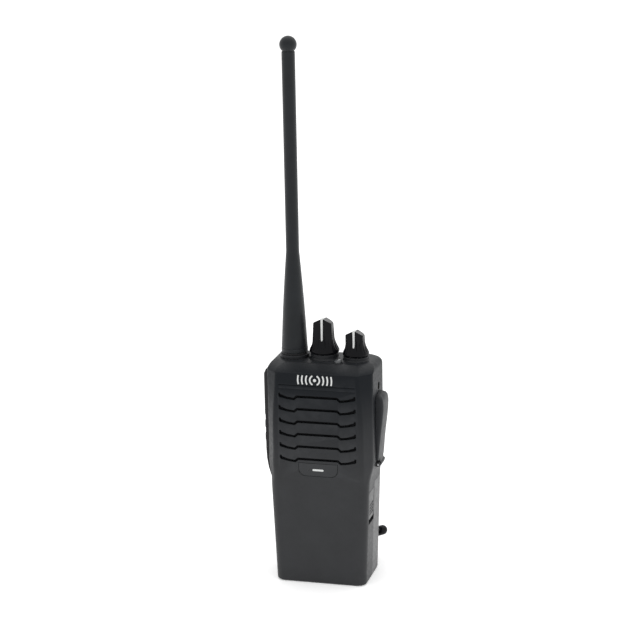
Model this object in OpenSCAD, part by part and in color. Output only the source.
// Portable two-way radio with its battery pack, belt clip and whip antenna.
// Origin: middle of the base. X to the right of the front face, Y to the back, Z up.

/* [Body] */
// Height of the body from its base to the top deck
body_h = 128; // [120:1:154]
// Width of the upper body
body_w = 61; // [58:0.5:74]
// Width of the body at its base
base_w = 52.5; // [48:0.5:55]
// Width of the body just under the flare
waist_w = 57; // [55.5:0.5:58]
// Height at which the flare to the upper width starts
waist_z = 59; // [54:0.5:66]
// Depth of the body, front face to back face
body_d = 37.2; // [35:0.2:46]
// Wall of the front housing
wall = 2; // [1.6:0.1:2.4]
// Thickness of the top deck
deck_t = 2.2; // [1.8:0.1:3]
// Width across X of the front corner chamfer
chamfer_x = 4.8; // [4:0.1:6]
// Depth along Y of the front corner chamfer on the upper body
chamfer_y = 7; // [5:0.1:8]
// Radius of the back corners
back_r = 7; // [5.5:0.1:8]

/* [Battery] */
// Distance from the front face to the seam in front of the battery
seam_depth = 16.6; // [15.6:0.2:19]
// Depth of the thin upper part of the battery
tongue_t = 8; // [7:0.1:9]
// Height of the thick lower part of the battery
step_z = 58; // [53:0.5:58.5]
// Height of the battery's top edge, under the hood
hood_z = 104; // [96:0.5:106]
// Wall of the battery case
pack_wall = 1.6; // [1.3:0.1:1.8]
// Gap all round the battery
pack_gap = 0.2; // [0.1:0.05:0.3]

/* [Grille] */
// Number of slots
slot_n = 6; // [3:1:7]
// Distance from one slot to the next
slot_pitch = 7.3; // [6:0.1:7.6]
// Height of a slot's opening
slot_t = 1.3; // [0.8:0.1:2]
// Half length of a slot
slot_x = 22; // [20:0.5:22.5]
// Half length of a slot's raised middle stretch
slot_mid_x = 12.4; // [8:0.2:14]
// Diameter of the loudspeaker
speaker_d = 36; // [28:1:38]

/* [Controls] */
// Distance from the left side of the body to the antenna's axis
antenna_edge = 12.3; // [11:0.1:14]
// Distance from the right side of the body to the volume knob's axis
volume_edge = 13.1; // [11:0.1:14]
// Distance of the controls' axes behind the middle of the body
control_y = 3.5; // [1:0.1:4.5]
// Length of the antenna above its gasket
antenna_h = 177.8; // [60:1:200]
// Radius of the antenna at its foot
antenna_foot_r = 7.5; // [6.5:0.1:7.6]
// Radius of the antenna's slender stretch
antenna_rod_r = 3.7; // [2.6:0.1:4.2]
// Radius of the ball at the antenna's tip
antenna_ball_r = 4.8; // [3.8:0.1:5.6]
// Radius of the antenna's mounting stud
stud_r = 3; // [2.5:0.1:3.4]
// Radius of the knob shafts
shaft_r = 3; // [2:0.1:3.2]
// Height of the channel knob
channel_h = 19.8; // [14:0.2:24]
// Radius of the channel knob's skirt
channel_r = 8.45; // [8:0.05:8.6]
// Height of the volume knob
volume_h = 14.6; // [11:0.2:18]
// Radius of the volume knob's skirt
volume_r = 7.5; // [7.2:0.05:7.8]
// Radial clearance of each shaft and pin in its bore
run_gap = 0.05; // [0.02:0.01:0.1]

/* [Side pieces] */
// Thickness of the rubber frame round the side buttons
bezel_t = 2.7; // [2.4:0.1:3.4]
// Travel of the talk button
talk_travel = 1.2; // [0.6:0.1:1.2]
// Travel of the two small side buttons
key_travel = 0.8; // [0.4:0.1:1.2]
// Gap round each side button
button_gap = 0.3; // [0.2:0.05:0.5]
// Width of the jack cover along Y
cover_w = 15; // [13:0.5:16]
// Radius of the jack cover's hinge pin
cover_pin_r = 0.55; // [0.4:0.05:0.65]
// Bore radius of the loudspeaker jack
speaker_jack_r = 1.8; // [1.75:0.05:2]
// Bore radius of the microphone jack
mic_jack_r = 1.3; // [1.25:0.05:1.5]
// Distance between the two jacks
jack_pitch = 11.5; // [10:0.1:13]
// Travel of the battery latches
latch_travel = 2.5; // [1.5:0.1:3]

/* [Belt clip] */
// Height of the swivel's axis
clip_z = 56; // [50:0.5:62]
// Distance from the swivel's axis to the rolled lip
clip_len = 45; // [38:0.5:46]
// Half width of the clip's strip
clip_x = 10; // [9.5:0.5:12]
// Half width of the rolled lip
lip_x = 14; // [11:0.5:16]
// Angle at which the clip is turned from straight down
clip_turn = 20; // [0:1:45]
// Radius of the clip's hinge pin
clip_pin_r = 1; // [0.8:0.05:1.3]

/* [Hidden] */
$fn = 48;

// Small distance by which a cut runs past a face
eps = 0.5;

// Faces of the body
front_y = -body_d / 2;
back_y = body_d / 2;
side_x = body_w / 2;
seam_y = front_y + seam_depth;
tongue_y = back_y - tongue_t;
flare_h = 14;
flare_z = waist_z + flare_h;
waist_r = 4.8;
base_r = 1.5;
top_drop = 3.6;
top_side = 4.5;
top_slope = 9.5;
chamfer_grow = 2.2;
face_top = body_h - top_drop;
in_y = front_y + wall;
in_x = side_x - wall;
deck_in = body_h - deck_t;

// Layers behind the front wall
cloth_t = 0.3;
cloth_side = 0.8;
cloth_edge = 3.5;
gasket_t = 0.6;
speaker_z = body_h - 35.5;
speaker_r = speaker_d / 2;
speaker_y = in_y + cloth_t + gasket_t;
board_y = front_y + 11.1;
board_t = 1.2;
board_back = board_y + board_t;
board_high_x = side_x - 5.5;
board_low_z = 5;
chassis_t = 2;
chassis_y = seam_y - pack_gap - chassis_t;
chassis_back_y = tongue_y - pack_gap - chassis_t;
panel_grip = 1.2;
chassis_gap = panel_grip + 0.2;

// Screws that hold the chassis and the board in the housing
screw_x = base_w / 2 - 7.25;
screw_zs = [10, step_z - 28];
screw_r = 1.1;
screw_head_r = 2.2;
screw_head_y = chassis_y + 0.9;
boss_r = 2.6;

// Controls on the deck
antenna_x = antenna_edge - side_x;
volume_x = side_x - volume_edge;
channel_x = (antenna_x + volume_x) / 2 - 0.4;
antenna_boss_r = antenna_foot_r + 0.8;
antenna_boss_z = body_h + 2;
gasket_h = 1;
antenna_z = antenna_boss_z + gasket_h;
socket_len = 12;
socket_r = 5;
socket_nut_r = socket_r + 1.6;
socket_nut_h = 2.4;
socket_floor = 2;
seal_t = 0.8;
switch_depth = 8;
pot_depth = 7;
channel_top_x = 5.2;
volume_top_x = 5.1;
pointer_w = 1.5;
stud_len = 7;
stud_top = 6;
stud_flange_r = 4.6;
stud_flange_t = 1.6;
antenna_taper = 58;
coil_chamber_r = 2.8;
coil_top = 44;
core_r = 1;
channel_boss_r = channel_r - 0.5;
channel_boss_z = body_h + 3.2;
volume_boss_r = volume_r - 0.3;
volume_boss_z = body_h + 2.2;
knob_gap = 0.8;
channel_z = channel_boss_z + knob_gap;
volume_z = volume_boss_z + knob_gap;
bush_r = shaft_r + 1.3;
nut_h = 1.6;
nut_slack = 0.35;
knob_wall = 1.3;
knob_block_z = 4.6;
led_x = (channel_x + volume_x) / 2 + 1.2;
led_y = control_y - 10;
led_r = 2.1;
led_stem_r = 1.5;
hole_gap = 0.1;

// Marks on the front face
groove_z = face_top - 7.3;
groove_t = 0.6;
groove_depth = 0.5;
badge_z = slot_z(slot_n - 1) - 6;
badge_t = 0.8;
badge_gap = 0.15;
badge_face_y = front_y - 0.1;
mark_t = 0.2;
emblem_x = -1;
emblem_z = face_top - 3.6;

// Loudspeaker and microphone
basket_d = 5;
cone_r = speaker_r - 2;
magnet_r = 9;
mic_x = -speaker_r;
mic_z = slot_z(slot_n - 1);
mic_r = 3;
mic_h = 2.2;
boot_t = 0.8;
boot_front = 0.6;
mic_y = in_y + cloth_t + boot_front;

// Shield cans on the board: [x, z, width, height]
can_places = [[-15, 8, 30, 16], [-15, 28, 14, 24], [1, 28, 14, 24]];

// Battery contacts
block_x = 12;
block_z = step_z + 8;
block_h = 8;
contact_xs = [-7.5, 0, 7.5];
pad_x = 1.6;
pad_t = 0.4;

// Side buttons, on the left
bezel_y0 = -8;
bezel_y1 = 6;
bezel_top = face_top - 1.4;
bezel_face = side_x + bezel_t;
bezel_skin = 0.8;
bezel_rim = 1.6;
button_y = (bezel_y0 + bezel_y1) / 2;
button_w = 8;
talk_h = 26;
key_h = 5.6;
key_space = 2;
talk_z0 = bezel_top - 3 - talk_h;
upper_key_z0 = talk_z0 - key_space - key_h;
lower_key_z0 = upper_key_z0 - key_space - key_h;
button_zs = [talk_z0 + talk_h / 2, upper_key_z0 + key_h / 2, lower_key_z0 + key_h / 2];
flange_x = 0.7;
plunger_r = 1.5;
button_proud = 1.3;
tip_gap = 0.1;
side_board_x = side_x - 5.6;

// Jacks and their cover, on the right
cover_y = 1.5;
cover_z1 = face_top - 14.4;
hinge_z = flare_z - 4;
hinge_x = side_x + 0.9;
barrel_r = cover_pin_r + 0.55;
barrel_half = cover_w / 2 - 3.5;
ear_r = barrel_r;
ear_len = 2;
ear_ys = [cover_y - barrel_half - 0.3 - ear_len, cover_y + barrel_half + 0.3];
cover_in_x = side_x + 0.25;
panel_z0 = hinge_z - 2.6;
panel_z1 = cover_z1 - 1;
panel_half = cover_w / 2 - 1;
panel_gap = 0.15;
panel_t = 1.5;
panel_face_x = side_x - 0.4;
speaker_jack_z = cover_z1 - 13;
mic_jack_z = speaker_jack_z - jack_pitch;
jack_depth = 12;
jack_shell_r = 3.9;
jack_noses = [1.2, 1.3];
insert_z = cover_z1 + 3.5;
insert_y = 2.5;
insert_r = 2.2;
insert_bore_r = 1.25;
insert_len = 3.6;
insert_recess = 0.9;
insert_x0 = side_x - insert_recess - insert_len;

// Battery latches
latch_y0 = front_y + 5;
latch_y1 = seam_y - 0.3;
latch_z0 = waist_z - 20.5;
latch_z1 = waist_z - 4;
latch_gap = 0.35;
latch_rim = 1;
latch_foot_z = latch_z0 - latch_rim - 1;
latch_spring_r = 0.9;
latch_spring_z = latch_z0 - 12;
latch_spring_y = board_back - 2.5;
latch_spring_x = half_w(latch_spring_z) - wall - 1.6;
shelf_half = 1.6;
shelf_t = 1.5;
board_low_x = latch_spring_x - shelf_half - 0.3;

// Battery details
lid_t = 1.4;
board_gap = 0.5;
charge_xs = [-8, 8];
charge_z = 9;
charge_r = 2.2;
plate_x = 15;
plate_h = 12;
plate_t = 0.5;
plate_z = hood_z - 20;

// Belt clip, in its own frame with the swivel's axis at the origin and its length along -Z
clip_plate_y = back_y + 1.4;
clip_plate_t = 3;
clip_neck_r = 5;
clip_head_r = 7;
clip_head_t = 1.2;
clip_pin_z = 13;
clip_ear_r = 2;
clip_pin_y = back_y + 7.2;
ear_x = clip_x - 4;
ear_t = 2.4;
lever_t = 2.2;
lip_r = 2.9;
lip_y = back_y + 9;

// ---- Helpers -------------------------------------------------------------

// Smooth step from 0 at a to 1 at b
function ease(z, a, b) =
    let (t = min(1, max(0, (z - a) / (b - a))))
    t * t * (3 - 2 * t);

function mix(a, b, t) = a + (b - a) * t;

// Half width of the body at a height
function half_w(z) =
    mix(base_w, waist_w, min(1, z / waist_z)) / 2 + (body_w - waist_w) / 2 * ease(z, waist_z, flare_z);

// Share of the upper body's flat chamfer in the front corner, from 0 at the waist to 1
function chamfer_share(z) = ease(z, waist_z - 4, flare_z + 4);

// Points of an elliptical arc round a centre
function arc(cx, cy, rx, ry, a0, a1, n) =
    [for (i = [0 : n]) let (a = mix(a0, a1, i / n)) [cx + rx * cos(a), cy + ry * sin(a)]];

// Front right corner, from the front face to the side: an arc that turns into a chamfer
function front_corner(hw, yf, cx, cy, share, n = 4) =
    [for (i = [0 : n])
        let (t = i / n, a = mix(-90, 0, t))
        let (round_p = [hw - cx + cx * cos(a), yf + cy + cy * sin(a)])
        let (flat_p = [hw - cx + cx * t, yf + cy * t])
        mix(round_p, flat_p, share)];

function flip_x(points) = [for (i = [len(points) - 1 : -1 : 0]) [-points[i][0], points[i][1]]];

// Level: [height, side inset, front inset, back inset]
base_levels = [for (a = [0 : 30 : 90]) let (s = base_r * (1 - sin(a))) [base_r * (1 - cos(a)), s, s, s]];
mid_levels = [
    for (z = concat(
        [for (i = [1 : 3]) waist_z * i / 4 + 2],
        [for (i = [0 : 5]) waist_z + flare_h * i / 5],
        [for (i = [1 : 3]) mix(flare_z, face_top, i / 4)]))
    [z, 0, 0, 0]];
top_levels = [
    for (a = [0 : 22.5 : 90])
    [face_top + top_drop * sin(a), top_side * (1 - cos(a)), top_slope * sin(a), top_drop * (1 - cos(a))]];

// Outline of the body at one level, drawn in by inset
function body_ring(level, z, inset) =
    let (share = chamfer_share(z), face = ease(z, flare_z + 20, face_top))
    let (hw = half_w(z) - level[1] - inset)
    let (yf = front_y + level[2] + inset, yb = back_y - level[3] - inset)
    let (cx = mix(waist_r, chamfer_x + chamfer_grow * face, share) - inset * mix(1, 0.5, share))
    let (cy = mix(waist_r, chamfer_y, share) - inset * mix(1, 0.7, share))
    let (rb = back_r - inset)
    let (right = concat(front_corner(hw, yf, cx, cy, share), arc(hw - rb, yb - rb, rb, rb, 0, 90, 4)))
    [for (p = concat(right, flip_x(right))) [p[0], p[1], z]];

function middle(ring) = [for (k = [0 : 2]) (min([for (p = ring) p[k]]) + max([for (p = ring) p[k]])) / 2];

// Closed solid through a stack of rings with equal numbers of points, anticlockwise from above
module loft(rings) {
    n = len(rings[0]);
    m = len(rings);
    low = n * m;
    high = low + 1;
    sides = [
        for (j = [0 : m - 2], i = [0 : n - 1])
        let (a = j * n + i, b = j * n + (i + 1) % n)
        each [[a, a + n, b + n], [a, b + n, b]]];
    caps = [
        for (i = [0 : n - 1])
        let (k = (i + 1) % n, top = (m - 1) * n)
        each [[low, i, k], [high, top + k, top + i]]];
    points = concat([for (r = rings) each r], [middle(rings[0]), middle(rings[m - 1])]);
    polyhedron(points = points, faces = concat(sides, caps));
}

// The whole body's shape, before it is split into housing and battery
module body_shape() {
    loft([for (l = concat(base_levels, mid_levels, top_levels)) body_ring(l, l[0], 0)]);
}

// The body's shape drawn in by a wall, with its own floor and roof
module body_inside(inset, floor_t, roof_t) {
    loft(concat(
        [for (l = base_levels) body_ring(l, l[0] + floor_t, inset)],
        [for (l = mid_levels) body_ring(l, l[0], inset)],
        [for (l = top_levels) body_ring(l, l[0] - roof_t, inset)]));
}

// Box between two corners
module box(a, b) {
    translate(a)
        cube(b - a);
}

// Space that the battery takes out of the body, with a gap taken off its faces
module pack_space(gap) {
    far = body_w;
    box([-far, seam_y + gap, -eps], [far, far, step_z - gap]);
    box([-far, tongue_y + gap, -eps], [far, far, hood_z - gap]);
}

// Cylinder along +Y from y0 to y1
module rod_y(x, z, r, y0, y1) {
    translate([x, y1, z])
        rotate([90, 0, 0])
            cylinder(r = r, h = y1 - y0);
}

// Cylinder along +X from x0 to x1
module rod_x(y, z, r, x0, x1) {
    translate([x0, y, z])
        rotate([0, 90, 0])
            cylinder(r = r, h = x1 - x0);
}

// Outline drawn in X and Z, extruded along Y from y0 to y1
module slab_y(y0, y1) {
    translate([0, y1, 0])
        rotate([90, 0, 0])
            linear_extrude(y1 - y0)
                children();
}

// Outline drawn in Y and Z, extruded along X from x0 to x1
module slab_x(x0, x1) {
    translate([x0, 0, 0])
        rotate([90, 0, 90])
            linear_extrude(x1 - x0)
                children();
}

// Points of a rectangle with round corners, from its middle and half sizes
function round_rect(cx, cy, hx, hy, r, n = 6) = concat(
    arc(cx + hx - r, cy + hy - r, r, r, 0, 90, n),
    arc(cx - hx + r, cy + hy - r, r, r, 90, 180, n),
    arc(cx - hx + r, cy - hy + r, r, r, 180, 270, n),
    arc(cx + hx - r, cy - hy + r, r, r, 270, 360, n));

// Closed helix round the Z axis, as a stack of small rings
module helix(coil_r, wire_r, height, turns, steps = 8, sides = 5) {
    n = turns * steps;
    loft([
        for (i = [0 : n])
        let (a = 360 * i / steps, z = height * i / n)
        [for (k = [0 : sides - 1])
            let (b = -360 * k / sides, r = coil_r + wire_r * cos(b))
            [r * cos(a), r * sin(a), z + wire_r * sin(b)]]]);
}

module both_sides() {
    children();
    mirror([1, 0, 0])
        children();
}

module left_side() {
    mirror([1, 0, 0])
        children();
}

// ---- Front housing -------------------------------------------------------

// Height of the middle of grille slot i, counted from the top
function slot_z(i) = face_top - 13.6 - slot_pitch * i;

// One grille slot: a straight middle, a step down at each kink, rising ends and upturned ticks
module slot_outline() {
    half = slot_t / 2;
    step = 1.5;
    rise = 1.7;
    tick = 1.6;
    end_z = rise - step;
    right = [
        [slot_mid_x - 1.1, -half],
        [slot_mid_x + 0.7, -step - half],
        [slot_x + 0.2, end_z - half],
        [slot_x + 0.2, end_z + tick],
        [slot_x - 0.9, end_z + tick],
        [slot_x - 0.9, end_z + half - 0.1],
        [slot_mid_x + 1.1, half - step],
        [slot_mid_x - 0.7, half]];
    polygon(concat(right, flip_x(right)));
}

// Outline of the model badge: straight above, with round lower corners
module badge_outline(grow) {
    hx = 11.2 + grow;
    z1 = badge_z + 3.7 + grow;
    z0 = badge_z - 3.7 - grow;
    right = concat([[0, z0]], arc(hx - 4, z0 + 4, 4, 4, -90, 0, 6), [[hx, z1]]);
    polygon(concat(right, flip_x([for (i = [1 : len(right) - 1]) right[i]])));
}

module screw_places() {
    for (x = [-screw_x, screw_x], z = screw_zs)
        translate([x, 0, z])
            children();
}

// Raised seat on the deck for one control
module deck_seat(x, r, top_z) {
    translate([x, control_y, deck_in])
        cylinder(r = r, h = top_z - deck_in);
}

module deck_hole(x, y, r) {
    translate([x, y, deck_in - eps])
        cylinder(r = r, h = body_h);
}

module spring_shelf() {
    box([latch_spring_x - shelf_half, latch_spring_y - shelf_half, latch_spring_z - shelf_t],
        [half_w(latch_spring_z) - wall / 2, latch_spring_y + shelf_half, latch_spring_z]);
}

module front_housing() {
    color("#35373b")
        difference() {
            union() {
                difference() {
                    body_shape();
                    pack_space(0);
                    difference() {
                        body_inside(wall, wall, deck_t);
                        box([-body_w, tongue_y, 0], [body_w, body_w, hood_z + wall]);
                    }
                }
                deck_seat(antenna_x, antenna_boss_r, antenna_boss_z);
                deck_seat(channel_x, channel_boss_r, channel_boss_z);
                deck_seat(volume_x, volume_boss_r, volume_boss_z);
                screw_places()
                    rod_y(0, 0, boss_r, in_y - eps, board_y);
                rod_x(insert_y, insert_z, insert_r + 1.4, insert_x0, in_x + eps);
                both_sides()
                    spring_shelf();
            }
            slab_y(front_y - eps, in_y + eps)
                for (i = [0 : slot_n - 1])
                    translate([0, slot_z(i)])
                        slot_outline();
            box([-slot_x, front_y - eps, groove_z], [slot_x, front_y + groove_depth, groove_z + groove_t]);
            slab_y(front_y - eps, front_y + badge_t)
                badge_outline(badge_gap);
            deck_hole(antenna_x, control_y, socket_r + hole_gap / 2);
            deck_hole(channel_x, control_y, bush_r + hole_gap);
            deck_hole(volume_x, control_y, bush_r + hole_gap);
            deck_hole(led_x, led_y, led_stem_r + hole_gap);
            screw_places()
                rod_y(0, 0, screw_r, in_y + 1, board_y + eps);
            for (z = button_zs)
                rod_x(button_y, z, plunger_r + 0.3, -side_x - eps, -in_x + eps);
            box([in_x - 3, cover_y - panel_half, panel_z0],
                [side_x + eps, cover_y + panel_half, panel_z1]);
            rod_x(insert_y, insert_z, insert_r, insert_x0 - eps, side_x + eps);
            both_sides()
                latch_notch();
        }
}

module latch_notch() {
    z0 = latch_z0 - latch_travel - latch_gap;
    box([half_w(z0) - wall - eps, latch_y0 - latch_gap, z0], [side_x, seam_y + eps, latch_z1 + latch_gap]);
}

module grille_cloth() {
    color("#141517")
        box([-slot_x - cloth_side, in_y, slot_z(slot_n - 1) - cloth_edge],
            [slot_x + cloth_side, in_y + cloth_t, slot_z(0) + cloth_edge]);
}

// Generic mark: a dot with waves on both sides, and a plain bar for the badge
module emblem() {
    wave_h = 2.6;
    wave_t = 0.42;
    color("#c9cacc") {
        slab_y(front_y - mark_t, front_y)
            translate([emblem_x, emblem_z]) {
                circle(r = 0.9);
                for (r = [2.8 : 2.3 : 9.8])
                    let (a = asin(min(0.9, wave_h / r)))
                    for (turn = [0, 180])
                        rotate(turn)
                            polygon(concat(
                                arc(0, 0, r + wave_t, r + wave_t, -a, a, 8),
                                arc(0, 0, r - wave_t, r - wave_t, a, -a, 8)));
            }
        slab_y(badge_face_y - mark_t, badge_face_y)
            polygon(round_rect(0, badge_z, 3.2, 0.55, 0.5, 3));
    }
}

module model_badge() {
    color("#3a3c40")
        slab_y(badge_face_y, front_y + badge_t)
            badge_outline(0);
}

module led_lens() {
    color("#b9bdbd")
        union() {
            translate([led_x, led_y, deck_in - 1])
                cylinder(r = led_stem_r, h = deck_t + 1);
            translate([led_x, led_y, body_h])
                intersection() {
                    sphere(r = led_r);
                    cylinder(r = led_r + 1, h = led_r);
                }
        }
}

// ---- Loudspeaker and microphone ------------------------------------------

// Turns a profile of radius and depth behind the front wall into a round piece of the loudspeaker
module speaker_turn() {
    translate([0, speaker_y, speaker_z])
        rotate([-90, 0, 0])
            rotate_extrude()
                children();
}

module speaker_gasket() {
    color("#1c1c1e")
        translate([0, -gasket_t, 0])
            speaker_turn()
                translate([cone_r, 0])
                    square([speaker_r - cone_r, gasket_t]);
}

module speaker_basket() {
    color("#8d9093")
        speaker_turn()
            polygon([
                [cone_r, 0], [speaker_r, 0], [speaker_r, 1.9], [speaker_r - 1.4, 1.9],
                [speaker_r - 6, basket_d - 0.5], [magnet_r - 0.6, basket_d - 0.5],
                [magnet_r - 0.6, basket_d], [magnet_r - 5, basket_d],
                [magnet_r - 5, basket_d - 1], [speaker_r - 6.6, basket_d - 1.2], [cone_r, 1.5]]);
}

// Thin cone with a dust cap in its middle and a rolled edge
module speaker_cone() {
    cap_r = 5;
    skin = 0.4;
    front = concat(
        [for (p = arc(0, 3.4, cap_r, 2.2, 90, 12, 4)) [p[0], 2 * 3.4 - p[1]]],
        [[cone_r - 2.2, 0.9]],
        arc(cone_r - 1.1, 0.9, 1, 0.6, 180, 360, 4));
    color("#232427")
        speaker_turn()
            polygon(concat(
                front,
                [for (i = [len(front) - 1 : -1 : 0]) [front[i][0], front[i][1] + skin]]));
}

module speaker_magnet() {
    color("#6d7073")
        speaker_turn()
            translate([0, basket_d])
                square([magnet_r, board_y - speaker_y - basket_d - 0.3]);
}

module microphone() {
    color("#a9abad")
        rod_y(mic_x, mic_z, mic_r, mic_y, mic_y + mic_h);
}

module microphone_boot() {
    color("#1b1b1d")
        difference() {
            rod_y(mic_x, mic_z, mic_r + boot_t, mic_y - boot_front, mic_y + mic_h);
            rod_y(mic_x, mic_z, mic_r, mic_y, mic_y + mic_h + eps);
            rod_y(mic_x, mic_z, 1, mic_y - boot_front - eps, mic_y + eps);
        }
}

// ---- Electronics and chassis ---------------------------------------------

module main_board() {
    right = [
        [board_low_x, board_low_z], [board_low_x, step_z - 1],
        [board_high_x, flare_z - 3], [board_high_x, face_top - 6]];
    color("#1f4d33")
        difference() {
            slab_y(board_y, board_back)
                polygon(concat(right, flip_x(right)));
            screw_places()
                rod_y(0, 0, screw_r + 0.3, board_y - eps, board_back + eps);
        }
}

module shield_cans() {
    h = 1.7;
    skin = 0.25;
    color("#b5b8ba")
        for (can = can_places)
            let (low = [can[0], board_back, can[1]], high = low + [can[2], h, can[3]])
            difference() {
                box(low, high);
                box(low + [skin, -eps, skin], high - [skin, skin, skin]);
            }
}

// Half width of the chassis at a height
function chassis_w(z) = half_w(z) - wall - chassis_gap;

module chassis() {
    low_z = wall + 2.6;
    shelf_z = step_z + pack_gap;
    notch_x = half_w(0) - wall - 2;
    lower = [
        [chassis_w(low_z), low_z], [chassis_w(latch_z0 - 8), latch_z0 - 8],
        [notch_x, latch_z0 - 7], [notch_x, shelf_z + chassis_t]];
    upper = concat(
        [for (i = [0 : 5]) let (z = waist_z + flare_h * i / 5) [chassis_w(z), max(z, shelf_z)]],
        [[chassis_w(hood_z), hood_z - pack_gap]]);
    color("#7e8285")
        difference() {
            union() {
                slab_y(chassis_y, chassis_y + chassis_t)
                    polygon(concat(lower, flip_x(lower)));
                box([-notch_x, chassis_y, shelf_z],
                    [notch_x, chassis_back_y + chassis_t, shelf_z + chassis_t]);
                slab_y(chassis_back_y, chassis_back_y + chassis_t)
                    polygon(concat(upper, flip_x(upper)));
            }
            screw_places() {
                rod_y(0, 0, screw_r + 0.1, chassis_y - eps, chassis_y + chassis_t + eps);
                rod_y(0, 0, screw_head_r + 0.2, screw_head_y, chassis_y + chassis_t + eps);
            }
            box([-block_x - hole_gap, chassis_back_y - eps, block_z - hole_gap],
                [block_x + hole_gap, chassis_back_y + chassis_t + eps, block_z + block_h + hole_gap]);
        }
}

module chassis_screws() {
    color("#9c9fa1")
        screw_places()
            difference() {
                union() {
                    rod_y(0, 0, screw_r, in_y + 1.4, screw_head_y);
                    rod_y(0, 0, screw_head_r, screw_head_y, chassis_y + chassis_t - 0.1);
                }
                rod_y(0, 0, 0.7, screw_head_y + 0.5, chassis_y + chassis_t);
            }
}

// ---- Controls under the deck ---------------------------------------------

// Body, threaded bush and bore of one rotary control
module rotary_control(x, half_x, half_y, depth, boss_z) {
    body_top = deck_in - seal_t;
    difference() {
        union() {
            box([x - half_x, control_y - half_y, body_top - depth],
                [x + half_x, control_y + half_y, body_top]);
            translate([x, control_y, body_top])
                cylinder(r = bush_r, h = boss_z + nut_h - body_top);
        }
        translate([x, control_y, body_top - depth + 1.4])
            cylinder(r = shaft_r + run_gap, h = body_h);
    }
}

module channel_switch() {
    color("#5a5d5f")
        rotary_control(channel_x, 7, 6, switch_depth, channel_boss_z);
}

module volume_pot() {
    color("#5a5d5f")
        rotary_control(volume_x, 5.8, 5.8, pot_depth, volume_boss_z);
}

module control_seals() {
    color("#1a1a1c")
        for (x = [channel_x, volume_x])
            translate([x, control_y, deck_in - seal_t])
                difference() {
                    cylinder(r = bush_r + 1.3, h = seal_t);
                    translate([0, 0, -eps])
                        cylinder(r = bush_r + hole_gap, h = seal_t + 2 * eps);
                }
}

module control_nuts() {
    color("#c3c6c8")
        for (c = [[channel_x, channel_boss_z], [volume_x, volume_boss_z]])
            translate([c[0], control_y, c[1]])
                difference() {
                    cylinder(r = bush_r + 1.5, h = nut_h, $fn = 6);
                    translate([0, 0, -eps])
                        cylinder(r = bush_r, h = nut_h + 2 * eps);
                }
}

module antenna_socket() {
    color("#c9a650")
        translate([antenna_x, control_y, 0])
            difference() {
                union() {
                    translate([0, 0, antenna_boss_z - socket_len])
                        cylinder(r = socket_r, h = socket_len);
                    translate([0, 0, deck_in - socket_nut_h])
                        rotate(30)
                            cylinder(r = socket_nut_r, h = socket_nut_h, $fn = 6);
                }
                translate([0, 0, antenna_boss_z - socket_len + socket_floor])
                    cylinder(r = stud_r + run_gap, h = socket_len);
            }
}

// ---- Knobs ---------------------------------------------------------------

// Plan of a knob's block: square with round corners in front, half round behind
function knob_plan(h, r) = concat(
    arc(0, 0, h, h, 0, 180, 16),
    arc(r - h, r - h, r, r, 180, 270, 6),
    arc(h - r, r - h, r, r, 270, 360, 6));

// One knob standing on z = 0: a fluted skirt, a flare, a block with a gabled top, and a shaft bore
module knob_shape(skirt_r, height, top_x) {
    hollow_h = nut_h - knob_gap + nut_slack;
    block_x = skirt_r - 2;
    low_block = knob_plan(block_x, block_x - 1.3);
    high_block = knob_plan(top_x, 1.6);
    gable = 2.5;
    ridge_fall = 9.6;
    gable_run = top_x + 1;
    flute_n = 20;
    ring_r = skirt_r - knob_wall;
    difference() {
        union() {
            rotate_extrude()
                polygon(concat(
                    [[0, 0], [skirt_r, 0], [skirt_r, 1]],
                    arc(skirt_r + 0.2, knob_block_z + 0.4, 2.4, 3.8, 258, 182, 5),
                    [[0, knob_block_z + 0.4]]));
            loft([
                [for (p = low_block) [p[0], p[1], 2]],
                [for (p = low_block) [p[0], p[1], knob_block_z]],
                [for (p = high_block) [p[0], p[1], height]]]);
        }
        translate([0, -top_x, height])
            rotate([-ridge_fall, 0, 0])
                both_sides()
                    slab_y(-skirt_r, 3 * skirt_r)
                        polygon([
                            [0, 0], [gable_run, -gable * gable_run / top_x],
                            [3 * skirt_r, -gable], [3 * skirt_r, 3], [0, 3]]);
        for (i = [0 : flute_n - 1])
            rotate(360 * (i + 0.5) / flute_n)
                translate([skirt_r + 0.25, 0, -eps])
                    cylinder(r = 0.6, h = 2.4);
        translate([0, 0, -eps])
            cylinder(r = ring_r, h = hollow_h + eps);
        cylinder(r = shaft_r, h = height - 3.6);
    }
}

// White line up the front of a knob's block
module knob_pointer(skirt_r, height, top_x, low_z) {
    y0 = -(skirt_r - 2);
    y1 = -top_x;
    low_y = mix(y0, y1, (low_z - knob_block_z) / (height - knob_block_z));
    proud = 0.2;
    slab_x(-pointer_w / 2, pointer_w / 2)
        polygon([[low_y, low_z], [y1, height], [y1 - proud, height], [low_y - proud, low_z]]);
}

module channel_knob() {
    color("#1b1b1e")
        translate([channel_x, control_y, channel_z])
            knob_shape(channel_r, channel_h, channel_top_x);
}

module channel_pointer() {
    color("#e8e8e4")
        translate([channel_x, control_y, channel_z])
            knob_pointer(channel_r, channel_h, channel_top_x, 6.7);
}

module channel_shaft() {
    color("#c3c6c8")
        translate([channel_x, control_y, 0])
            shaft(deck_in - seal_t - switch_depth + 2, channel_z + channel_h - 4);
}

module volume_knob() {
    color("#1b1b1e")
        translate([volume_x, control_y, volume_z])
            knob_shape(volume_r, volume_h, volume_top_x);
}

module volume_pointer() {
    color("#e8e8e4")
        translate([volume_x, control_y, volume_z])
            knob_pointer(volume_r, volume_h, volume_top_x, 5);
}

module volume_shaft() {
    color("#c3c6c8")
        translate([volume_x, control_y, 0])
            shaft(deck_in - seal_t - pot_depth + 2, volume_z + volume_h - 4);
}

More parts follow.
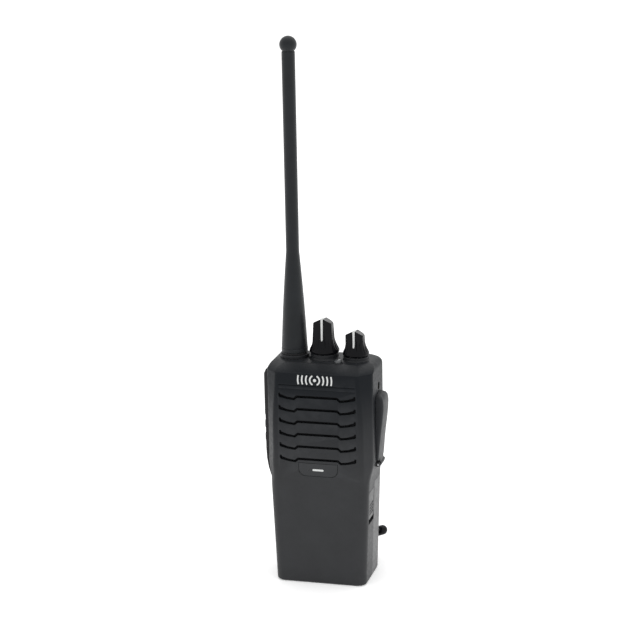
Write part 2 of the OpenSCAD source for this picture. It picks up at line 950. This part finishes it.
module shaft(z0, z1) {
    translate([0, 0, z0])
        cylinder(r = shaft_r, h = z1 - z0);
}

// ---- Antenna -------------------------------------------------------------

module at_antenna() {
    translate([antenna_x, control_y, antenna_z])
        children();
}

module antenna_gasket() {
    color("#141416")
        translate([antenna_x, control_y, antenna_boss_z])
            difference() {
                cylinder(r = antenna_foot_r - 0.3, h = gasket_h);
                translate([0, 0, -eps])
                    cylinder(r = stud_r + 0.3, h = gasket_h + 2 * eps);
            }
}

module antenna_sheath() {
    ball_z = antenna_h - antenna_ball_r;
    neck_a = asin((antenna_rod_r - 0.2) / antenna_ball_r);
    color("#2c2e31")
        at_antenna()
            difference() {
                rotate_extrude()
                    polygon(concat(
                        [[0, 0], [antenna_foot_r - 0.4, 0], [antenna_foot_r, 0.4]],
                        [for (i = [1 : 6])
                            let (t = i / 6, share = mix(ease(t, 0, 1), t, 0.55))
                            [mix(antenna_foot_r, antenna_rod_r, share), antenna_taper * t]],
                        [[antenna_rod_r, ball_z - 8]],
                        arc(0, ball_z, antenna_ball_r, antenna_ball_r, neck_a - 90, 84, 10),
                        [[0, antenna_h]]));
                translate([0, 0, -eps])
                    cylinder(r = stud_flange_r, h = stud_flange_t + eps);
                cylinder(r = stud_r, h = stud_top);
                cylinder(r = coil_chamber_r, h = coil_top);
                cylinder(r = core_r + 0.1, h = antenna_h - 2 * antenna_ball_r);
            }
}

module antenna_stud() {
    color("#c9a650")
        at_antenna()
            union() {
                translate([0, 0, -stud_len])
                    cylinder(r = stud_r, h = stud_len + stud_top);
                cylinder(r = stud_flange_r, h = stud_flange_t);
            }
}

module antenna_coil() {
    color("#b9803a")
        at_antenna()
            union() {
                translate([0, 0, stud_top + 0.6])
                    helix(coil_chamber_r - 0.6, 0.35, coil_top - stud_top - 1.2, 12);
                translate([0, 0, stud_top])
                    cylinder(r = core_r, h = antenna_h - 2 * antenna_ball_r - stud_top - 0.5);
            }
}

// ---- Side buttons --------------------------------------------------------

module button_bezel() {
    waist_out = 2.4;
    wall_line = [for (i = [0 : 5]) let (z = waist_z + flare_h * i / 5) [half_w(z), z]];
    color("#26272a")
        left_side()
            difference() {
                slab_y(bezel_y0, bezel_y1)
                    polygon(concat(
                        wall_line,
                        [[side_x, bezel_top], [side_x + 1.3, bezel_top], [bezel_face, bezel_top - 2.6],
                            [bezel_face, lower_key_z0 - 3.5], [half_w(waist_z) + waist_out, waist_z + 0.8]]));
                box([side_x - eps, bezel_y0 + bezel_rim, lower_key_z0 - 1.2],
                    [bezel_face - bezel_skin, bezel_y1 - bezel_rim, talk_z0 + talk_h + 1.2]);
                button_hole(talk_z0, talk_h);
                button_hole(upper_key_z0, key_h);
                button_hole(lower_key_z0, key_h);
            }
}

module button_hole(z0, h) {
    slab_x(side_x, bezel_face + eps)
        polygon(round_rect(button_y, z0 + h / 2, button_w / 2 + button_gap, h / 2 + button_gap, 1.6));
}

// One side button: a cap, a flange behind the bezel's skin and a plunger through the wall
module side_button(z0, h) {
    foot_x = side_x + talk_travel + tip_gap;
    skin_x = bezel_face - bezel_skin;
    left_side()
        union() {
            slab_x(foot_x, bezel_face + button_proud)
                polygon(round_rect(button_y, z0 + h / 2, button_w / 2, h / 2, 1.3));
            slab_x(foot_x, skin_x - tip_gap)
                polygon(round_rect(button_y, z0 + h / 2, button_w / 2 + flange_x, h / 2 + flange_x, 1.5));
            rod_x(button_y, z0 + h / 2, plunger_r, in_x - 0.3, foot_x + eps);
        }
}

module talk_button() {
    color("#2b2c2f")
        side_button(talk_z0, talk_h);
}

module upper_key() {
    color("#2b2c2f")
        side_button(upper_key_z0, key_h);
}

module lower_key() {
    color("#2b2c2f")
        side_button(lower_key_z0, key_h);
}

module side_board() {
    color("#1f4d33")
        box([-side_board_x, -5, lower_key_z0 - 3], [1 - side_board_x, 5, talk_z0 + talk_h - 8]);
}

module side_switches() {
    travels = [talk_travel, key_travel, key_travel];
    color("#2a2a2c")
        left_side()
            for (i = [0 : 2])
                let (z = button_zs[i], nub_x = in_x - 0.3 - travels[i] - tip_gap)
                union() {
                    box([side_board_x, button_y - 2.2, z - 2], [nub_x - 0.5, button_y + 2.2, z + 2]);
                    rod_x(button_y, z, 0.9, nub_x - 0.6, nub_x);
                }
}

// ---- Jacks and their cover -----------------------------------------------

module jack_panel() {
    half = panel_half - panel_gap;
    z0 = panel_z0 + panel_gap;
    z1 = panel_z1 - panel_gap;
    grip_z = flare_z + 2;
    back_x = panel_face_x - panel_t;
    low_x = half_w(panel_z0);
    color("#202124")
        difference() {
            union() {
                slab_y(cover_y - half, cover_y + half)
                    polygon([
                        [low_x - 1.4, z0], [low_x, z0], [panel_face_x, z0 + 2.4],
                        [panel_face_x, z1], [back_x, z1], [back_x, z0 + 2.4]]);
                for (s = [-1, 1]) {
                    box([in_x - panel_grip, cover_y + s * panel_half - 1.2, grip_z],
                        [in_x - panel_gap, cover_y + s * panel_half + 1.2, z1 - 1]);
                    box([in_x - panel_grip, cover_y + s * (half - 0.6) - 0.6, grip_z],
                        [back_x + 0.1, cover_y + s * (half - 0.6) + 0.6, z1 - 1]);
                }
                for (y0 = ear_ys) {
                    box([back_x, y0, hinge_z - ear_r], [hinge_x, y0 + ear_len, hinge_z + ear_r]);
                    rod_y(hinge_x, hinge_z, ear_r, y0, y0 + ear_len);
                }
            }
            rod_x(cover_y, speaker_jack_z, speaker_jack_r + jack_noses[0] + hole_gap / 2, in_x - 3, side_x);
            rod_x(cover_y, mic_jack_z, mic_jack_r + jack_noses[1] + hole_gap / 2, in_x - 3, side_x);
            rod_y(hinge_x, hinge_z, cover_pin_r, ear_ys[0] - eps, ear_ys[1] + ear_len + eps);
        }
}

module jack_cover_pin() {
    color("#b9bcbe")
        rod_y(hinge_x, hinge_z, cover_pin_r, ear_ys[0], ear_ys[1] + ear_len);
}

// One jack: a barrel on the board side, a nose flush with the panel and a bore
module jack(z, bore_r, nose_wall) {
    x0 = panel_face_x - jack_depth - 0.8;
    x1 = panel_face_x - panel_t - hole_gap;
    difference() {
        union() {
            rod_x(cover_y, z, jack_shell_r, x0, x1);
            rod_x(cover_y, z, bore_r + nose_wall, x1 - 1, panel_face_x);
        }
        rod_x(cover_y, z, bore_r, panel_face_x - jack_depth, side_x);
    }
}

module speaker_jack() {
    color("#b9bcbe")
        jack(speaker_jack_z, speaker_jack_r, jack_noses[0]);
}

module mic_jack() {
    color("#b9bcbe")
        jack(mic_jack_z, mic_jack_r, jack_noses[1]);
}

module screw_insert() {
    color("#c9a650")
        difference() {
            rod_x(insert_y, insert_z, insert_r, insert_x0, insert_x0 + insert_len);
            rod_x(insert_y, insert_z, insert_bore_r, insert_x0 - eps, side_x);
        }
}

module jack_cover() {
    skin = 1.2;
    top = cover_z1;
    low = hinge_z + ear_r + 0.4;
    run = top - hinge_z;
    // Thickness of the cover at shares of its height
    bulge = [
        [0.04, 1.5], [0.16, 1.75], [0.3, 2.3], [0.45, 3], [0.6, 3.8],
        [0.75, 4.5], [0.88, 4.7], [0.95, 4.1], [0.985, 3]];
    low_x = side_x + bulge[0][1];
    skin_line = [for (b = bulge) [side_x + b[1], hinge_z + run * b[0]]];
    inner_line = [
        for (i = [2 : 7])
        skin_line[i] - [skin, i == 7 ? skin : 0]];
    outline = concat(
        [[cover_in_x, low], [low_x, low]],
        [for (i = [1 : 8]) skin_line[i]],
        [[side_x + 1.2, top], [cover_in_x, top]]);
    color("#36383b")
        difference() {
            union() {
                intersection() {
                    slab_y(cover_y - cover_w / 2, cover_y + cover_w / 2)
                        polygon(outline);
                    slab_x(side_x, side_x + 8)
                        polygon(round_rect(cover_y, (low + top) / 2, cover_w / 2, (top - low) / 2, 3.6));
                }
                box([cover_in_x, cover_y - barrel_half, hinge_z],
                    [low_x, cover_y + barrel_half, low + 1.5]);
                rod_y(hinge_x, hinge_z, barrel_r, cover_y - barrel_half, cover_y + barrel_half);
            }
            slab_y(cover_y - cover_w / 2 + skin + 1, cover_y + cover_w / 2 - skin - 1)
                polygon(concat(
                    [[cover_in_x - eps, inner_line[0][1]]],
                    inner_line,
                    [[cover_in_x - eps, inner_line[5][1]]]));
            rod_y(hinge_x, hinge_z, cover_pin_r + run_gap,
                cover_y - barrel_half - eps, cover_y + barrel_half + eps);
        }
}

// ---- Battery latches -----------------------------------------------------

module latch() {
    low_x = half_w(latch_z0);
    high_x = half_w(latch_z1);
    rim_x = half_w(latch_z0 - latch_travel) - wall - latch_gap;
    union() {
        slab_y(latch_y0, latch_y1)
            polygon([
                [rim_x - 0.5, latch_z0], [low_x, latch_z0],
                [high_x, latch_z1], [rim_x - 0.5, latch_z1]]);
        box([rim_x - latch_rim, latch_y0 - latch_rim, latch_foot_z],
            [rim_x, latch_y1, latch_z1 + latch_rim]);
        box([latch_spring_x - 1.2, latch_spring_y - 1.2, latch_foot_z],
            [rim_x, latch_spring_y + 1.2, latch_z0 + 1]);
    }
}

module latch_spring() {
    wire = 0.22;
    end_gap = wire + 0.03;
    translate([latch_spring_x, latch_spring_y, latch_spring_z + end_gap])
        helix(latch_spring_r, wire, latch_foot_z - latch_spring_z - 2 * end_gap, 6, 8, 4);
}

module latch_left() {
    color("#303236")
        left_side()
            latch();
}

module latch_right() {
    color("#303236")
        latch();
}

module latch_spring_left() {
    color("#b9bcbe")
        left_side()
            latch_spring();
}

module latch_spring_right() {
    color("#b9bcbe")
        latch_spring();
}

// ---- Contacts between radio and battery ----------------------------------

module contact_block() {
    y0 = chassis_back_y - 2;
    y1 = chassis_back_y + chassis_t;
    color("#1b1b1d")
        difference() {
            box([-block_x, y0, block_z], [block_x, y1, block_z + block_h]);
            for (x = contact_xs)
                box([x - pad_x, y0 + 1, block_z + 1], [x + pad_x, y1 + eps, block_z + block_h - 1]);
        }
}

module contact_springs() {
    z = block_z + block_h / 2;
    y_foot = chassis_back_y - 1;
    y_tip = tongue_y + pack_gap - 0.05;
    bow = 2.4;
    color("#d2b26a")
        for (x = contact_xs)
            slab_x(x - 1.2, x + 1.2)
                polygon(concat(
                    [[y_foot, z + 3], [y_foot, z - 3], [y_foot + 0.4, z - 3], [y_foot + 0.4, z - bow]],
                    arc(y_foot + 0.4, z, y_tip - y_foot - 0.4, bow, -85, 85, 8),
                    [[y_foot + 0.4, z + bow], [y_foot + 0.4, z + 3]]));
}

// ---- Battery -------------------------------------------------------------

module battery_case() {
    roof_z = hood_z - pack_gap - pack_wall;
    color("#33353a")
        difference() {
            intersection() {
                body_shape();
                pack_space(pack_gap);
            }
            intersection() {
                body_inside(pack_wall, pack_wall, deck_t);
                box([-body_w, front_y, 0], [body_w, back_y, roof_z]);
            }
            for (x = charge_xs)
                rod_y(x, charge_z, charge_r, back_y - pack_wall - eps, back_y + eps);
            box([-plate_x, back_y - plate_t, plate_z], [plate_x, back_y + eps, plate_z + plate_h]);
        }
}

// Inner lid of the battery: a lower plate, a step and an upper plate
module battery_cover() {
    y0 = seam_y + pack_gap;
    y1 = tongue_y + pack_gap;
    t = lid_t;
    top = step_z - pack_gap;
    roof_z = hood_z - 2 * pack_gap - pack_wall;
    color("#2b2d31")
        difference() {
            intersection() {
                body_inside(pack_wall + 0.1, pack_wall + 0.1, deck_t);
                slab_x(-body_w, body_w)
                    polygon([
                        [y0, 0], [y0, top], [y1, top], [y1, roof_z],
                        [y1 + t, roof_z], [y1 + t, top - t], [y0 + t, top - t], [y0 + t, 0]]);
            }
            for (x = contact_xs)
                battery_contact(x, y1 - eps, y1 + pad_t, y1 + t + eps);
        }
}

module battery_cells() {
    cell_w = (base_w - 2 * pack_wall) / 2 - 3.2;
    y0 = seam_y + pack_gap + lid_t + board_gap;
    y1 = back_y - pack_wall - 2;
    color("#6d8fb3")
        for (s = [-1, 1])
            translate([s * (cell_w / 2 + 0.5), (y0 + y1) / 2, pack_wall + 1.6])
                linear_extrude(step_z - pack_wall - lid_t - 5)
                    polygon(round_rect(0, 0, cell_w / 2, (y1 - y0) / 2, 3.4));
}

module battery_board() {
    y0 = tongue_y + pack_gap + lid_t + board_gap;
    color("#1f4d33")
        box([-1.5 * block_x, y0, block_z - 6], [1.5 * block_x, y0 + 0.9, block_z + block_h + 6]);
}

// One contact pad, from y0 to y1, with its pin from there to y2
module battery_contact(x, y0, y1, y2) {
    union() {
        box([x - pad_x, y0, block_z + 0.8], [x + pad_x, y1, block_z + block_h - 0.8]);
        rod_y(x, block_z + block_h / 2, 0.8, y1 - pad_t / 2, y2);
    }
}

module battery_contacts() {
    y0 = tongue_y + pack_gap;
    color("#d2b26a")
        for (x = contact_xs)
            battery_contact(x, y0, y0 + pad_t, y0 + lid_t + board_gap);
}

module charging_contacts() {
    color("#c9ccce")
        for (x = charge_xs)
            rod_y(x, charge_z, charge_r, back_y - pack_wall - 0.2, back_y - 0.15);
}

module rating_plate() {
    color("#8f9294")
        box([-plate_x, back_y - plate_t, plate_z], [plate_x, back_y - 0.1, plate_z + plate_h]);
}

// ---- Belt clip -----------------------------------------------------------

// Puts a piece from the clip's own frame onto the back of the battery
module clip_frame() {
    translate([0, 0, clip_z])
        rotate([0, -clip_turn, 0])
            children();
}

module clip_button() {
    head_y = clip_plate_y + clip_plate_t + 0.2;
    color("#17181a")
        clip_frame()
            difference() {
                union() {
                    rod_y(0, 0, clip_neck_r + 4, back_y, clip_plate_y - 0.2);
                    rod_y(0, 0, clip_neck_r, clip_plate_y - 0.2 - eps, head_y + eps);
                    rod_y(0, 0, clip_head_r, head_y, head_y + clip_head_t);
                }
                box([-2.6, head_y + 0.5, -0.5], [2.6, head_y + clip_head_t + eps, 0.5]);
            }
}

module clip_base() {
    y1 = clip_plate_y + clip_plate_t;
    color("#17181a")
        clip_frame()
            difference() {
                union() {
                    slab_y(clip_plate_y, y1)
                        polygon(round_rect(0, 3, clip_x, 14, 8));
                    both_sides() {
                        box([ear_x, y1 - eps, clip_pin_z - clip_ear_r],
                            [ear_x + ear_t, clip_pin_y, clip_pin_z + clip_ear_r]);
                        rod_x(clip_pin_y, clip_pin_z, clip_ear_r, ear_x, ear_x + ear_t);
                    }
                }
                rod_y(0, 0, clip_neck_r + run_gap, clip_plate_y - eps, y1 + eps);
                rod_x(clip_pin_y, clip_pin_z, clip_pin_r, -clip_x, clip_x);
            }
}

module clip_pin() {
    color("#b9bcbe")
        clip_frame()
            rod_x(clip_pin_y, clip_pin_z, clip_pin_r, -clip_x + 0.1, clip_x - 0.1);
}

module clip_spring() {
    wire = 0.35;
    coil_r = clip_pin_r + 0.25 + wire;
    half = ear_x - 1;
    color("#b9bcbe")
        clip_frame()
            union() {
                translate([-half, clip_pin_y, clip_pin_z])
                    rotate([0, 90, 0])
                        helix(coil_r, wire, 2 * half, 8);
                rod_y(-half, clip_pin_z - coil_r, wire, clip_plate_y + clip_plate_t, clip_pin_y);
            }
}

module clip_lever() {
    over_y = clip_pin_y + clip_ear_r + 0.3;
    end_z = 4 - clip_len;
    end_y = back_y + 3.2;
    knuckle_x = ear_x + ear_t + 0.3;
    color("#17181a")
        clip_frame()
            difference() {
                union() {
                    slab_x(-clip_x, clip_x)
                        polygon([
                            [over_y, clip_pin_z + 10], [over_y, clip_pin_z - 7], [end_y, end_z],
                            [lip_y - lip_r, -clip_len + 0.2], [lip_y + 0.6, -clip_len + lip_r - 0.3],
                            [end_y + lever_t + 0.4, end_z + 2.6],
                            [over_y + lever_t, clip_pin_z - 6], [over_y + lever_t, clip_pin_z + 10]]);
                    rod_x(lip_y, -clip_len, lip_r, lip_r - lip_x, lip_x - lip_r);
                    for (s = [-1, 1])
                        translate([s * (lip_x - lip_r), lip_y, -clip_len])
                            sphere(r = lip_r);
                    both_sides() {
                        box([knuckle_x, clip_pin_y, clip_pin_z - clip_ear_r],
                            [clip_x, over_y + eps, clip_pin_z + clip_ear_r]);
                        rod_x(clip_pin_y, clip_pin_z, clip_ear_r, knuckle_x, clip_x);
                    }
                }
                rod_x(clip_pin_y, clip_pin_z, clip_pin_r + run_gap, -clip_x - eps, clip_x + eps);
            }
}

// ---- Assembly ------------------------------------------------------------

front_housing();
grille_cloth();
emblem();
model_badge();
led_lens();
control_seals();
speaker_gasket();
speaker_basket();
speaker_cone();
speaker_magnet();
microphone();
microphone_boot();
main_board();
shield_cans();
chassis();
chassis_screws();
channel_switch();
volume_pot();
control_nuts();
antenna_socket();
button_bezel();
side_board();
side_switches();
jack_panel();
jack_cover_pin();
speaker_jack();
mic_jack();
screw_insert();
contact_block();
contact_springs();
channel_knob();
channel_pointer();
channel_shaft();
volume_knob();
volume_pointer();
volume_shaft();
antenna_gasket();
antenna_sheath();
antenna_stud();
antenna_coil();
talk_button();
upper_key();
lower_key();
jack_cover();
latch_left();
latch_right();
latch_spring_left();
latch_spring_right();
battery_case();
battery_cover();
battery_cells();
battery_board();
battery_contacts();
charging_contacts();
rating_plate();
clip_button();
clip_base();
clip_pin();
clip_spring();
clip_lever();
